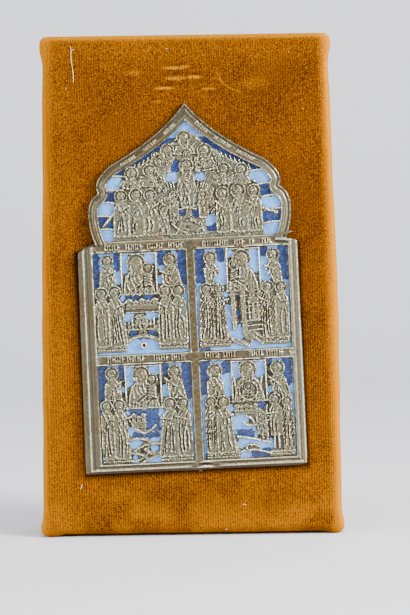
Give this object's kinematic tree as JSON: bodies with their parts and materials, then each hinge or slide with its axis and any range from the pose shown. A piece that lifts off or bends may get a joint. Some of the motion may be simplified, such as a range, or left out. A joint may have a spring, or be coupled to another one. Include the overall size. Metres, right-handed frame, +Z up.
{
  "type": "travel icon on a velvet board",
  "caption": "Cast brass leaf of a folding travel icon: ogee crest, four panels of figures in relief, blue enamel grounds, mounted upright on a velvet-covered standing board.",
  "frame": {"origin": "middle of the board's flat underside", "axes": "+Z up, the icon faces -Y, +X to the right as seen from the front"},
  "size_m": [0.1436, 0.04, 0.237],
  "materials": {
    "velvet": "short amber pile, glued over the board, lighter where it rolls over the edges",
    "cast_brass": "worn grey-olive casting, dark in the recesses",
    "light_blue_enamel": "glassy opaque enamel fused in the sunk fields",
    "cobalt_enamel": "glassy dark blue enamel fused in the sunk fields"
  },
  "bodies": {
    "root": {"velvet_board": "velvet", "icon_leaf": "cast_brass"}
  },
  "joints": []
}
